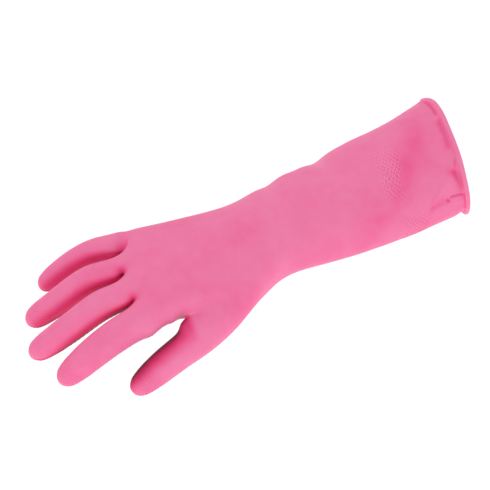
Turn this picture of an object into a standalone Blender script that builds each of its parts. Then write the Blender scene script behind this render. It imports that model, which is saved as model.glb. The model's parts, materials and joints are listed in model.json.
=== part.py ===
"""Household rubber glove for the right hand, lying palm side down with its fingers a little curled.

The glove is one dipped latex skin with a bonded flock lining and a rolled bead round its cuff. Here
the skin is divided wherever it flexes: stiff lengths that keep their shape, and flexing bands that
bridge them. Every stiff length has its own piece of lining.

+X runs along the arm to the cuff, the fingers point to -X, the thumb is on the -Y side, +Z is up.
Every table below is in millimetres and degrees. MM turns its lengths into metres.
"""

import math

import bmesh
import bpy
import numpy as np
from mathutils import Vector

MM = 0.001

# Thicknesses and clearances
SKIN = 0.6
LINING = 0.3
LINING_CLEARANCE = 0.3
CUT_GAP = 0.3
FLEX_HALF_WIDTH = 1.2
BEAD_HALF_WIDTH = 2.0
BEAD_HALF_HEIGHT = 1.2
BEAD_SIDES = 8

# The arm and palm, ring by ring from the cuff to the roots of the fingers. Each ring is a rounded
# oval: its centre x, y, z, its half width and half height, the power of its curve (2 is an ellipse),
# its slant in plan, its lean towards the fingers, and how far the thumb's side is opened above and
# below for the thumb's root.
RINGS = (
    (139.4, 8.4, 28.0, 48.0, 30.0, 2.0, -12, 9, 0, 0),
    (132.5, 7.7, 27.2, 46.5, 29.5, 2.0, -10, 7, 0, 0),
    (117, 6.2, 26.0, 45.2, 28.5, 2.0, -7, 3, 0, 0),
    (96, 4.1, 25.5, 44.0, 28.0, 2.0, -4, 0, 0, 0),
    (72, 3.0, 25.0, 42.7, 27.5, 2.0, -2, 0, 0, 0),
    (48, 1.6, 24.5, 39.9, 27.0, 2.0, 0, 0, 0, 0),
    (24, 0.8, 24.5, 37.2, 25.5, 2.0, 0, 0, 0, 0),
    (0, 1.0, 25.0, 33.6, 23.5, 2.1, 0, 0, 0, 0),
    (-18, -4.2, 27.0, 33.6, 21.5, 2.2, 0, 0, 4, 6),
    (-36, -11.4, 28.2, 40.8, 20.0, 2.3, 0, 0, 10, 24),
    (-60, -7.2, 29.6, 38.8, 18.6, 2.4, 0, 0, 12, 34),
    (-84, -4.0, 31.4, 38.2, 17.0, 2.5, 0, 0, 6, 16),
    (-97, 0.2, 32.4, 36.0, 16.0, 2.6, 0, 0, 0, 4),
)
COLUMNS = 9
RING_FIRST_ANGLE = 170
RING_STEP = 20
THUMB_OPENING_SHARE = (1.0, 0.6, 0.25, 0, 0, 0, 0, 0, 0)
THUMB_RINGS = (9, 10, 11)

# Each finger: its centre line from root to tip, the radius at each of those points, and how far
# past its root the knuckle bends.
FINGERS = {
    "index": {
        "line": ((-111, -31.5, 33.5), (-140, -37.6, 29.8), (-155.7, -38.4, 20.8), (-167, -37.1, 9.4)),
        "radii": (12.5, 10.7, 10.3, 8.6),
        "knuckle": 10,
    },
    "middle": {
        "line": ((-111, -5.5, 35.5), (-141, -12.6, 31.8), (-161.7, -13.4, 20.8), (-177.2, -10.9, 9.2)),
        "radii": (11, 10, 9.8, 8.4),
        "knuckle": 10.5,
    },
    "ring": {
        "line": ((-108, 15, 33.5), (-135.5, 14, 28.8), (-154.2, 13.3, 18.9), (-170.1, 14.7, 8.9)),
        "radii": (10.5, 9.6, 9.5, 8.5),
        "knuckle": 9.5,
    },
    "little": {
        "line": ((-99, 32.5, 30), (-122, 37.6, 25.8), (-139.2, 39.8, 16.7), (-153.4, 39.5, 7.9)),
        "radii": (9.5, 8.7, 8.7, 7.6),
        "knuckle": 8.5,
    },
}
FINGER_ORDER = ("index", "middle", "ring", "little")
ROOT_CROWN = 1.15
ROOT_EDGE = 0.62
ROOT_WEB = 0.8
THUMB_LINE = ((-66, -49.3, 22), (-81, -53.6, 19.5), (-97, -57.3, 16.5), (-111, -59.8, 12.8), (-125, -63.4, 8.9))
THUMB_RADII = (14.2, 12.4, 10.8, 10.6, 8.8)
THUMB_ROOT_DIRECTION = (-0.6, -0.78, -0.18)
THUMB_ROOT_SIDE = (-0.8, 0.6, 0.1)
THUMB_SIDE = (-0.3, 1.0, 0.12)
THUMB_PAD = (0, 0.8, -0.6)
DIGIT_ANGLES = (150, 90, 30, -30, -90, -150)
DIGIT_STEP = 60
TIP_STEPS = ((0.8, 0.78), (1.24, 0.33))

# Where the wrist and the thumb bend, and every bend's travel: towards the palm, and away from it.
WRIST_DEVIATION_AT = (22, -1, 25)
WRIST_FLEXION_AT = (-14, -4, 26.5)
THUMB_KNUCKLE_AT = (-94, -56.6, 17)
THUMB_END_AT = (-113, -60.3, 12.4)
DEVIATION = 15
WRIST_DOWN, WRIST_UP = 45, 35
KNUCKLE_DOWN, KNUCKLE_UP = 50, 10
MIDDLE_DOWN, END_DOWN = 60, 36
THUMB_IN, THUMB_OUT = 30, 12
THUMB_END_IN = 50
WRIST_REACH = 60
DIGIT_REACH = 21
SNAP = 0.1

PINK = (0.80, 0.17, 0.34, 1)
DEEP_PINK = (0.72, 0.13, 0.29, 1)
PALE_LINING = (0.86, 0.55, 0.63, 1)


def unit(vector):
    """The vector scaled to length one."""
    vector = np.asarray(vector, float)
    return vector / np.linalg.norm(vector)


def swell(step):
    """How far outside a round ring its control points lie, when they are step degrees apart."""
    return 3 / (2 + math.cos(math.radians(step)))


def oval_power(value, power):
    return math.copysign(abs(value) ** (2 / power), value)


class Cage:
    """The control cage: a list of points, and four-sided faces that know which part they are in."""

    def __init__(self):
        self.points = []
        self.faces = []
        self.parts = []

    def point(self, place):
        self.points.append(tuple(float(value) for value in place))
        return len(self.points) - 1

    def face(self, corners, part):
        self.faces.append(tuple(corners))
        self.parts.append(part)

    def sleeve(self, first, second, part):
        """A band of faces between two closed rings of points."""
        count = len(first)
        for k in range(count):
            after = (k + 1) % count
            self.face((first[k], first[after], second[after], second[k]), part)


def arm_rings(cage):
    """The rings of the arm and palm, each as a row of upper points and a row of lower points."""
    rings = []
    for x, y, z, half_width, half_height, power, slant, lean, open_above, open_below in RINGS:
        rows = []
        for sign, opening in ((1, open_above), (-1, open_below)):
            row = []
            for column in range(COLUMNS):
                angle = RING_FIRST_ANGLE - RING_STEP * column - opening * THUMB_OPENING_SHARE[column]
                turn = math.radians(angle)
                across = half_width * swell(RING_STEP) * oval_power(math.cos(turn), power)
                rise = half_height * swell(RING_STEP) * oval_power(math.sin(turn), power)
                along = -across * math.tan(math.radians(slant)) - sign * rise * math.tan(math.radians(lean))
                row.append(cage.point((x + along, y + across, z + sign * rise)))
            rows.append(row)
        rings.append(rows)
    return rings


def arm_faces(cage, rings):
    """Skin the rings, leaving a six-sided hole where the thumb grows out of the palm."""
    for index, ((upper, lower), (next_upper, next_lower)) in enumerate(zip(rings, rings[1:])):
        for k in range(COLUMNS - 1):
            cage.face((upper[k], upper[k + 1], next_upper[k + 1], next_upper[k]), "arm")
            cage.face((lower[k + 1], lower[k], next_lower[k], next_lower[k + 1]), "arm")
        cage.face((upper[-1], lower[-1], next_lower[-1], next_upper[-1]), "arm")
        if index not in THUMB_RINGS[:2]:
            cage.face((lower[0], upper[0], next_upper[0], next_lower[0]), "arm")


def root_columns():
    """Along the line of the finger roots: centre and half height at each edge, web and crown."""
    columns = []
    last_centre, last_radius = None, None
    for name in FINGER_ORDER:
        centre = np.array(FINGERS[name]["line"][0], float)
        radius = FINGERS[name]["radii"][0]
        edge = centre - (0, radius, 0)
        if last_centre is None:
            columns.append((edge, ROOT_EDGE * radius))
        else:
            columns.append(((last_centre + (0, last_radius, 0) + edge) / 2, ROOT_WEB * (radius + last_radius) / 2))
        columns.append((centre, ROOT_CROWN * radius))
        last_centre, last_radius = centre, radius
    columns.append((last_centre + (0, last_radius, 0), ROOT_EDGE * last_radius))
    return columns


def digit_ring(cage, centre, direction, side, radius):
    """Six points round a digit: three over its back, then three under its pad."""
    direction = unit(direction)
    side = np.asarray(side, float)
    side = unit(side - side.dot(direction) * direction)
    back = np.cross(side, direction)
    if back[2] < 0:
        back = -back
    ring = []
    for angle in DIGIT_ANGLES:
        turn = math.radians(angle)
        spoke = math.cos(turn) * side + math.sin(turn) * back
        ring.append(cage.point(np.asarray(centre) + radius * swell(DIGIT_STEP) * spoke))
    return ring


def digit(cage, loop, line, radii, side, part):
    """A tube from an open loop of six points along a centre line to a rounded tip."""
    line = [np.asarray(place, float) for place in line]
    for k in range(1, len(line)):
        direction = unit(line[k] - line[k - 1])
        if k + 1 < len(line):
            direction = direction + unit(line[k + 1] - line[k])
        ring = digit_ring(cage, line[k], direction, side, radii[k])
        cage.sleeve(loop, ring, part)
        loop = ring
    direction = unit(line[-1] - line[-2])
    for ahead, share in TIP_STEPS:
        ring = digit_ring(cage, line[-1] + direction * ahead * radii[-1], direction, side, share * radii[-1])
        cage.sleeve(loop, ring, part)
        loop = ring
    cage.face((loop[0], loop[1], loop[4], loop[5]), part)
    cage.face((loop[1], loop[2], loop[3], loop[4]), part)


def glove_cage():
    """The whole control cage, open only at the cuff."""
    cage = Cage()
    rings = arm_rings(cage)
    arm_faces(cage, rings)

    upper, lower = rings[-1]
    columns = root_columns()
    roots_above = [cage.point(centre + (0, 0, height)) for centre, height in columns]
    roots_below = [cage.point(centre - (0, 0, height)) for centre, height in columns]
    for k in range(COLUMNS - 1):
        cage.face((upper[k], upper[k + 1], roots_above[k + 1], roots_above[k]), "arm")
        cage.face((lower[k + 1], lower[k], roots_below[k], roots_below[k + 1]), "arm")
    cage.face((upper[-1], lower[-1], roots_below[-1], roots_above[-1]), "arm")
    cage.face((lower[0], upper[0], roots_above[0], roots_below[0]), "arm")

    for k, name in enumerate(FINGER_ORDER):
        left, right = 2 * k, 2 * k + 2
        loop = roots_above[left : right + 1] + roots_below[left : right + 1][::-1]
        line, radii = FINGERS[name]["line"], FINGERS[name]["radii"]
        base = 0.55 * np.array(line[0]) + 0.45 * np.array(line[1])
        line = (line[0], base) + tuple(line[1:])
        radii = (radii[0], 0.45 * radii[0] + 0.55 * radii[1]) + tuple(radii[1:])
        digit(cage, loop, line, radii, (0, 1, 0), name)

    first, second, third = (rings[k] for k in THUMB_RINGS)
    loop = [first[0][0], second[0][0], third[0][0], third[1][0], second[1][0], first[1][0]]
    ring = digit_ring(cage, THUMB_LINE[0], THUMB_ROOT_DIRECTION, THUMB_ROOT_SIDE, THUMB_RADII[0])
    cage.sleeve(loop, ring, "thumb")
    digit(cage, ring, THUMB_LINE, THUMB_RADII, THUMB_SIDE, "thumb")
    return cage


class Bend:
    """One place where the skin flexes. ahead points to the fingertips, back is the side away from
    the palm, closing and opening are the travel towards the palm and away from it."""

    def __init__(self, name, at, ahead, back, closing, opening, reach):
        self.name = name
        self.at = np.asarray(at, float)
        self.ahead = unit(ahead)
        back = np.asarray(back, float)
        self.back = unit(back - back.dot(self.ahead) * self.ahead)
        self.closing = math.tan(math.radians(closing / 2))
        self.opening = math.tan(math.radians(opening / 2))
        self.reach = reach

    def slopes(self):
        """The wedge between the two stiff lengths, as two pairs of plane normals: below the axis,
        where closing opens the wedge, and above it."""
        below = (self.ahead - self.closing * self.back, self.ahead + self.closing * self.back)
        above = (self.ahead + self.opening * self.back, self.ahead - self.opening * self.back)
        return below, above

    def depth(self, place):
        """How far a place is past the near side of the wedge, and past its far side."""
        place = place - self.at
        below, above = self.slopes()
        near = max(place.dot(below[0]), place.dot(above[0]))
        far = min(place.dot(below[1]), place.dot(above[1]))
        return near, far


def finger_bends(name):
    finger = FINGERS[name]
    line = [np.asarray(place, float) for place in finger["line"]]
    runs = [unit(b - a) for a, b in zip(line, line[1:])]
    axis = unit(np.cross((0, 0, 1), line[-1] - line[0]))
    places = (line[0] + runs[0] * finger["knuckle"], line[1], line[2])
    heads = (runs[0], runs[0] + runs[1], runs[1] + runs[2])
    travels = ((KNUCKLE_DOWN, KNUCKLE_UP), (MIDDLE_DOWN, 0), (END_DOWN, 0))
    bends = []
    for kind, place, ahead, (closing, opening) in zip(("knuckle", "middle", "end"), places, heads, travels):
        ahead = unit(ahead - ahead.dot(axis) * axis)
        back = np.cross(ahead, axis)
        bends.append(Bend(f"{name}_{kind}", place, ahead, back, closing, opening, DIGIT_REACH))
    return bends


def thumb_bends():
    line = [np.asarray(place, float) for place in THUMB_LINE]
    ahead = unit(line[-1] - line[1])
    back = -np.asarray(THUMB_PAD, float)
    knuckle = Bend("thumb_knuckle", THUMB_KNUCKLE_AT, ahead, back, THUMB_IN, THUMB_OUT, DIGIT_REACH)
    end = Bend("thumb_end", THUMB_END_AT, ahead, back, THUMB_END_IN, 0, DIGIT_REACH)
    return [knuckle, end]


def wrist_bends():
    ahead = (-1, 0, 0)
    deviation = Bend("wrist_deviation", WRIST_DEVIATION_AT, ahead, (0, 1, 0), DEVIATION, DEVIATION, WRIST_REACH)
    flexion = Bend("wrist_flexion", WRIST_FLEXION_AT, ahead, (0, 0, 1), WRIST_DOWN, WRIST_UP, WRIST_REACH)
    return [deviation, flexion]


# Each chain of bends with the stiff lengths before, between and after them.
def chains():
    result = {"arm": (wrist_bends(), ["gauntlet", "wrist_band", "hand"])}
    for name in FINGER_ORDER:
        result[name] = (finger_bends(name), ["hand", f"{name}_proximal", f"{name}_middle", f"{name}_tip"])
    result["thumb"] = (thumb_bends(), ["hand", "thumb_proximal", "thumb_tip"])
    return result


def smooth_skin(cage):
    """The smooth skin as a bmesh in metres, with each face's part as its material index."""
    parts = sorted(set(cage.parts))
    mesh = bpy.data.meshes.new("cage")
    mesh.from_pydata([Vector(place) * MM for place in cage.points], [], cage.faces)
    for part in parts:
        mesh.materials.append(bpy.data.materials.new(part))
    for polygon, part in zip(mesh.polygons, cage.parts):
        polygon.material_index = parts.index(part)
    holder = bpy.data.objects.new("cage", mesh)
    bpy.context.scene.collection.objects.link(holder)
    smooth = holder.modifiers.new("smooth", "SUBSURF")
    smooth.levels = 1
    smooth.render_levels = 1
    smooth.boundary_smooth = "PRESERVE_CORNERS"
    evaluated = holder.evaluated_get(bpy.context.evaluated_depsgraph_get())
    skin = bmesh.new()
    skin.from_mesh(evaluated.to_mesh())
    evaluated.to_mesh_clear()
    bpy.data.objects.remove(holder)
    bpy.data.meshes.remove(mesh)
    for part in parts:
        bpy.data.materials.remove(bpy.data.materials[part])
    for vert in skin.verts:
        vert.co.z = max(vert.co.z, 0)
    return skin, parts


def split(skin, faces, bend, normal, offset):
    """Cut the given faces by a plane that stands offset millimetres ahead of a bend."""
    geometry = set(faces)
    for face in faces:
        geometry.update(face.edges)
        geometry.update(face.verts)
    place = Vector(bend.at + bend.ahead * offset) * MM
    cut = bmesh.ops.bisect_plane(
        skin, geom=list(geometry), dist=SNAP * MM, plane_co=place, plane_no=Vector(normal), use_snap_center=True
    )
    return [item for item in cut["geom"] if isinstance(item, bmesh.types.BMFace)]


def cut_at(skin, part, bend):
    """Cut one part's faces along the sides of a bend's wedge, twice each, a gap apart."""
    near = []
    for face in skin.faces:
        if face.material_index == part:
            away = np.array(face.calc_center_median()) / MM - bend.at
            if abs(away.dot(bend.ahead)) < bend.reach:
                near.append(face)
    near = split(skin, near, bend, bend.back, 0)
    below, above = bend.slopes()
    for normals, sign in ((below, -1), (above, 1)):
        side = []
        for face in near:
            if face.is_valid:
                away = np.array(face.calc_center_median()) / MM - bend.at
                if sign * away.dot(bend.back) > 0:
                    side.append(face)
        for normal, direction in zip(normals, (-1, 1)):
            for offset in (FLEX_HALF_WIDTH, FLEX_HALF_WIDTH + CUT_GAP):
                side = split(skin, side, bend, normal, direction * offset)


def name_region(place, bends, lengths):
    """The stiff length or flexing band that a place is in, or None in the gap between two."""
    for bend, length in zip(bends, lengths):
        near, far = bend.depth(place)
        if near < -FLEX_HALF_WIDTH - CUT_GAP:
            return length + "_skin"
        if near < -FLEX_HALF_WIDTH:
            return None
        if far < FLEX_HALF_WIDTH:
            return bend.name + "_band"
        if far < FLEX_HALF_WIDTH + CUT_GAP:
            return None
    return lengths[-1] + "_skin"


def divided_skin():
    """The smooth skin cut at every bend, and the faces of each region."""
    skin, parts = smooth_skin(glove_cage())
    all_chains = chains()
    for part, (bends, lengths) in all_chains.items():
        for bend in bends:
            cut_at(skin, parts.index(part), bend)
    bmesh.ops.triangulate(skin, faces=skin.faces[:])
    skin.normal_update()
    regions = {}
    for face in skin.faces:
        bends, lengths = all_chains[parts[face.material_index]]
        region = name_region(np.array(face.calc_center_median()) / MM, bends, lengths)
        if region:
            regions.setdefault(region, []).append(face)
    return skin, regions


def layer(faces, outside, inside):
    """A closed sheet following the given faces, between two depths below them."""
    sheet = bmesh.new()
    tops, bottoms = {}, {}
    for face in faces:
        for vert in face.verts:
            if vert not in tops:
                tops[vert] = sheet.verts.new(vert.co - vert.normal * outside * MM)
                bottoms[vert] = sheet.verts.new(vert.co - vert.normal * inside * MM)
    kept = set(faces)
    for face in faces:
        sheet.faces.new([tops[vert] for vert in face.verts])
        sheet.faces.new([bottoms[vert] for vert in reversed(face.verts)])
        for loop in face.loops:
            if sum(other in kept for other in loop.edge.link_faces) == 1:
                first, second = loop.vert, loop.link_loop_next.vert
                sheet.faces.new((tops[second], tops[first], bottoms[first], bottoms[second]))
    return sheet


def rim_loop(skin):
    """The skin's open edge at the cuff: each point with its surface normal, in order."""
    edges = [edge for edge in skin.edges if edge.is_boundary]
    first = edges[0].verts[0]
    loop, last, here = [first], None, first
    while True:
        steps = [edge.other_vert(here) for edge in here.link_edges if edge.is_boundary]
        ahead = steps[0] if steps[0] is not last else steps[1]
        if ahead is first:
            return loop
        loop.append(ahead)
        last, here = here, ahead


def cuff_bead(skin):
    """The rolled bead that closes the cuff's edge: an oval section carried round the rim."""
    loop = rim_loop(skin)
    count = len(loop)
    bead = bmesh.new()
    rings = []
    for k, vert in enumerate(loop):
        along = loop[(k + 1) % count].co - loop[k - 1].co
        outward = along.cross(vert.normal).normalized()
        if outward.x < 0:
            outward = -outward
        centre = vert.co - vert.normal * SKIN / 2 * MM + outward * (CUT_GAP + BEAD_HALF_WIDTH) * MM
        centre.z = max(centre.z, BEAD_HALF_HEIGHT * MM)
        ring = []
        for side in range(BEAD_SIDES):
            turn = 2 * math.pi * side / BEAD_SIDES
            reach = outward * BEAD_HALF_WIDTH * math.cos(turn) + vert.normal * BEAD_HALF_HEIGHT * math.sin(turn)
            ring.append(bead.verts.new(centre + reach * MM))
        rings.append(ring)
    for k in range(count):
        ring, after = rings[k], rings[(k + 1) % count]
        for side in range(BEAD_SIDES):
            following = (side + 1) % BEAD_SIDES
            bead.faces.new((ring[side], ring[following], after[following], after[side]))
    bmesh.ops.recalc_face_normals(bead, faces=bead.faces[:])
    return bead


def material(name, colour, roughness):
    result = bpy.data.materials.new(name)
    result.use_nodes = True
    shader = result.node_tree.nodes["Principled BSDF"]
    shader.inputs["Base Color"].default_value = colour
    shader.inputs["Roughness"].default_value = roughness
    shader.inputs["Metallic"].default_value = 0
    return result


def add_node(name, shape, colour, roughness, pivot):
    """Make an object of a shape in the design's frame, hung on its body's pivot."""
    place = pivot["at"]
    bmesh.ops.translate(shape, verts=shape.verts[:], vec=-place)
    mesh = bpy.data.meshes.new(name)
    shape.to_mesh(mesh)
    shape.free()
    mesh.shade_smooth()
    mesh.set_sharp_from_angle(angle=math.radians(50))
    mesh.materials.append(material(name, colour, roughness))
    node = bpy.data.objects.new(name, mesh)
    node.parent = pivot["empty"]
    bpy.context.scene.collection.objects.link(node)


def body_pivots():
    """An empty on every joint, chained from the gauntlet to the fingertips."""
    pivots = {}

    def pivot(body, at, parent):
        at = Vector(at) * MM
        empty = bpy.data.objects.new(body + "_pivot", None)
        bpy.context.scene.collection.objects.link(empty)
        if parent:
            empty.parent = pivots[parent]["empty"]
            empty.location = at - pivots[parent]["at"]
        else:
            empty.location = at
        pivots[body] = {"empty": empty, "at": at}

    pivot("gauntlet", (0, 0, 0), None)
    for bends, lengths in chains().values():
        for bend, before, after in zip(bends, lengths, lengths[1:]):
            pivot(after, bend.at, before)
    return pivots


def centre_on_origin(root):
    """Stand the glove on z = 0 with the middle of its box over the origin."""
    bpy.context.view_layer.update()
    meshes = [item for item in bpy.context.scene.objects if item.type == "MESH"]
    places = [item.matrix_world @ Vector(corner) for item in meshes for corner in item.bound_box]
    low = Vector(min(place[axis] for place in places) for axis in range(3))
    high = Vector(max(place[axis] for place in places) for axis in range(3))
    root.location -= Vector(((low.x + high.x) / 2, (low.y + high.y) / 2, low.z))


def main():
    for item in list(bpy.data.objects):
        bpy.data.objects.remove(item)
    skin, regions = divided_skin()
    pivots = body_pivots()
    bodies_of_bands = {bend.name: after for bends, lengths in chains().values() for bend, after in zip(bends, lengths[1:])}
    lining_top = SKIN + LINING_CLEARANCE
    for region, faces in regions.items():
        if region.endswith("_skin"):
            body = region.removesuffix("_skin")
            add_node(region, layer(faces, 0, SKIN), PINK, 0.5, pivots[body])
            lining = layer(faces, lining_top, lining_top + LINING)
            add_node(body + "_lining", lining, PALE_LINING, 0.95, pivots[body])
        else:
            body = bodies_of_bands[region.removesuffix("_band")]
            add_node(region, layer(faces, 0, SKIN), DEEP_PINK, 0.5, pivots[body])
    add_node("cuff_bead", cuff_bead(skin), PINK, 0.45, pivots["gauntlet"])
    skin.free()
    centre_on_origin(pivots["gauntlet"]["empty"])


main()
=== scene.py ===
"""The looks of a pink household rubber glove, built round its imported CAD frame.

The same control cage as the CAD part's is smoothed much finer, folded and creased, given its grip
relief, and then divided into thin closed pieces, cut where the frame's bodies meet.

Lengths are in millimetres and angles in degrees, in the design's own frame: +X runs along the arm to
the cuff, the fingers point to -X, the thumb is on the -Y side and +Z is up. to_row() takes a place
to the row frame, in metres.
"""

import json
import math

import bpy
import numpy as np
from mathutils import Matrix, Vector


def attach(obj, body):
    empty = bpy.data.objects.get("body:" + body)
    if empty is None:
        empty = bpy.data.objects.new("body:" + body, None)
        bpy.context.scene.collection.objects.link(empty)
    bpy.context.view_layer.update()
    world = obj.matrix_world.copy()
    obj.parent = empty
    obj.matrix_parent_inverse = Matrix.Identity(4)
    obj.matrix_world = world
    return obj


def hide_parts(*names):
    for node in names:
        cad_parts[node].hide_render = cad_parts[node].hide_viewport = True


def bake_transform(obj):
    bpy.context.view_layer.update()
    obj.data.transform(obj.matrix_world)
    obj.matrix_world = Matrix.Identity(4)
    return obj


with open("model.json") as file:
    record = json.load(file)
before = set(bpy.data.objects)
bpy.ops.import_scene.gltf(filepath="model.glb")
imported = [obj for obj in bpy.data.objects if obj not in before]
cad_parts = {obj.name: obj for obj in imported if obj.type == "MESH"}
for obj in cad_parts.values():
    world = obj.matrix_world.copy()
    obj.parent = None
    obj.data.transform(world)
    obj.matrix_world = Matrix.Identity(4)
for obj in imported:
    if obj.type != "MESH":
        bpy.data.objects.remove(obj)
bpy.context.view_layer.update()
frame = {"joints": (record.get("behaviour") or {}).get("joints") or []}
JOINTS = {joint["name"]: joint for joint in frame["joints"]}

MM = 0.001

# Thicknesses of the latex and of the flock inside it
SKIN = 0.6
LINING = 0.3
LINING_CLEARANCE = 0.3

# The arm and palm, ring by ring from the cuff to the roots of the fingers. Each ring is a rounded
# oval: its centre x, y, z, its half width and half height, the power of its curve (2 is an ellipse),
# its slant in plan, its lean towards the fingers, and how far the thumb's side is opened above and
# below for the thumb's root.
RINGS = (
    (139.4, 8.4, 28.0, 48.0, 30.0, 2.0, -12, 9, 0, 0),
    (132.5, 7.7, 27.2, 46.5, 29.5, 2.0, -10, 7, 0, 0),
    (117, 6.2, 26.0, 45.2, 28.5, 2.0, -7, 3, 0, 0),
    (96, 4.1, 25.5, 44.0, 28.0, 2.0, -4, 0, 0, 0),
    (72, 3.0, 25.0, 42.7, 27.5, 2.0, -2, 0, 0, 0),
    (48, 1.6, 24.5, 39.9, 27.0, 2.0, 0, 0, 0, 0),
    (24, 0.8, 24.5, 37.2, 25.5, 2.0, 0, 0, 0, 0),
    (0, 1.0, 25.0, 33.6, 23.5, 2.1, 0, 0, 0, 0),
    (-18, -4.2, 27.0, 33.6, 21.5, 2.2, 0, 0, 4, 6),
    (-36, -11.4, 28.2, 40.8, 20.0, 2.3, 0, 0, 10, 24),
    (-60, -7.2, 29.6, 38.8, 18.6, 2.4, 0, 0, 12, 34),
    (-84, -4.0, 31.4, 38.2, 17.0, 2.5, 0, 0, 6, 16),
    (-97, 0.2, 32.4, 36.0, 16.0, 2.6, 0, 0, 0, 4),
)
COLUMNS = 9
RING_FIRST_ANGLE = 170
RING_STEP = 20
THUMB_OPENING_SHARE = (1.0, 0.6, 0.25, 0, 0, 0, 0, 0, 0)
THUMB_RINGS = (10, 11, 12)

# Each finger: its centre line from root to tip, and the radius at each of those points.
FINGERS = {
    "index": {
        "line": ((-111, -31.5, 33.5), (-140, -37.6, 29.8), (-155.7, -38.4, 20.8), (-167, -37.1, 9.4)),
        "radii": (12.5, 10.7, 10.3, 8.6),
    },
    "middle": {
        "line": ((-111, -5.5, 35.5), (-141, -12.6, 31.8), (-161.7, -13.4, 20.8), (-177.2, -10.9, 9.2)),
        "radii": (11, 10, 9.8, 8.4),
    },
    "ring": {
        "line": ((-108, 15, 33.5), (-135.5, 14, 28.8), (-154.2, 13.3, 18.9), (-170.1, 14.7, 8.9)),
        "radii": (10.5, 9.6, 9.5, 8.5),
    },
    "little": {
        "line": ((-99, 32.5, 30), (-122, 37.6, 25.8), (-139.2, 39.8, 16.7), (-153.4, 39.5, 7.9)),
        "radii": (9.5, 8.7, 8.7, 7.6),
    },
}
FINGER_ORDER = tuple(FINGERS)

# How far from a finger's root to its next ring one more ring is
EXTRA_RING_AT = 0.45

# Half heights at the line of the roots, as shares of the fingers' radii there
ROOT_CROWN = 1.15
ROOT_EDGE = 0.62
ROOT_WEB = 0.8

# The thumb: its centre line and radii, the way its root looks and lies, and the side of the rest
THUMB_LINE = (
    (-66, -49.3, 22),
    (-81, -53.6, 19.5),
    (-97, -57.3, 16.5),
    (-111, -59.8, 12.8),
    (-125, -63.4, 8.9),
)
THUMB_RADII = (14.2, 12.4, 10.8, 10.6, 8.8)
THUMB_ROOT_DIRECTION = (-0.6, -0.78, -0.18)
THUMB_ROOT_SIDE = (-0.8, 0.6, 0.1)
THUMB_SIDE = (-0.3, 1.0, 0.12)

# The points of a digit's rings, and the rings of its tip: how far ahead of its line's end each is and
# its radius, as shares of the last radius
DIGIT_ANGLES = (150, 90, 30, -30, -90, -150)
DIGIT_STEP = 60
TIP_STEPS = ((0.8, 0.78), (1.24, 0.33))

# The design's wrist joint, which the row frame's is compared with
WRIST_DEVIATION_AT = (22, -1, 25)
TO_ROW = np.array(JOINTS["wrist_deviation_bend"]["pos_m"]) - np.array(WRIST_DEVIATION_AT) * MM

# The grip band lies between this ring and the next, where the surface is made finer.
BAND_RING = 3

# The folds of the arm's skin stay before row FOLD_ROWS, and fade out at the rim over RIM_ROWS rows.
FOLD_ROWS = 10
RIM_ROWS = 0.45

# Each cage face is divided into FINE x FINE for the outside and COARSE x COARSE for the inside.
FINE_LEVEL = 5
FINE = 2**FINE_LEVEL
COARSE = 8
STRIDE = FINE // COARSE


def unit(vector):
    """The vector scaled to length one."""
    vector = np.asarray(vector, float)
    return vector / np.linalg.norm(vector)


def units(vectors):
    """Every row scaled to length one."""
    return vectors / np.maximum(np.linalg.norm(vectors, axis=1), 1e-12)[:, None]


def to_row(places):
    """Design places, in millimetres, as row frame places, in metres."""
    return np.asarray(places, float) * MM + TO_ROW


# ---- the control cage


def swell(step):
    """How far outside a round ring its control points lie, when they are step degrees apart."""
    return 3 / (2 + math.cos(math.radians(step)))


def oval_power(value, power):
    """A cosine or sine bent towards a squarer oval; a power of 2 leaves it alone."""
    return math.copysign(abs(value) ** (2 / power), value)


class Cage:
    """The control cage: a list of points, and four-sided faces. Each face knows its part, and how far
    along that part its four corners are, counted in rings."""

    def __init__(self):
        self.points = []
        self.faces = []
        self.parts = []
        self.along = []

    def point(self, place):
        self.points.append(tuple(float(value) for value in place))
        return len(self.points) - 1

    def face(self, corners, part, along):
        self.faces.append(tuple(corners))
        self.parts.append(part)
        self.along.append(along)

    def sleeve(self, first, second, part, row):
        """A band of faces between two closed rings of points."""
        count = len(first)
        for k in range(count):
            after = (k + 1) % count
            self.face((first[k], first[after], second[after], second[k]), part, (row, row, row + 1, row + 1))


def with_band_ring(rings):
    """The arm's rings, with one more halfway along the grip band."""
    middle = tuple((a + b) / 2 for a, b in zip(rings[BAND_RING], rings[BAND_RING + 1]))
    return rings[: BAND_RING + 1] + (middle,) + rings[BAND_RING + 1 :]


def arm_rings(cage):
    """The rings of the arm and palm, each as a row of upper points and a row of lower points."""
    rings = []
    for x, y, z, half_width, half_height, power, slant, lean, open_above, open_below in with_band_ring(RINGS):
        rows = []
        for sign, opening in ((1, open_above), (-1, open_below)):
            row = []
            for column in range(COLUMNS):
                angle = RING_FIRST_ANGLE - RING_STEP * column - opening * THUMB_OPENING_SHARE[column]
                turn = math.radians(angle)
                across = half_width * swell(RING_STEP) * oval_power(math.cos(turn), power)
                rise = half_height * swell(RING_STEP) * oval_power(math.sin(turn), power)
                along = -across * math.tan(math.radians(slant)) - sign * rise * math.tan(math.radians(lean))
                row.append(cage.point((x + along, y + across, z + sign * rise)))
            rows.append(row)
        rings.append(rows)
    return rings


def arm_band(cage, first, second, row, closed=True):
    """The faces between two rings of the arm. Without closed, the thumb's side is left open."""
    (upper, lower), (next_upper, next_lower) = first, second
    along = (row, row, row + 1, row + 1)
    for k in range(COLUMNS - 1):
        cage.face((upper[k], upper[k + 1], next_upper[k + 1], next_upper[k]), "arm", along)
        cage.face((lower[k + 1], lower[k], next_lower[k], next_lower[k + 1]), "arm", along)
    cage.face((upper[-1], lower[-1], next_lower[-1], next_upper[-1]), "arm", along)
    if closed:
        cage.face((lower[0], upper[0], next_upper[0], next_lower[0]), "arm", along)


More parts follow.
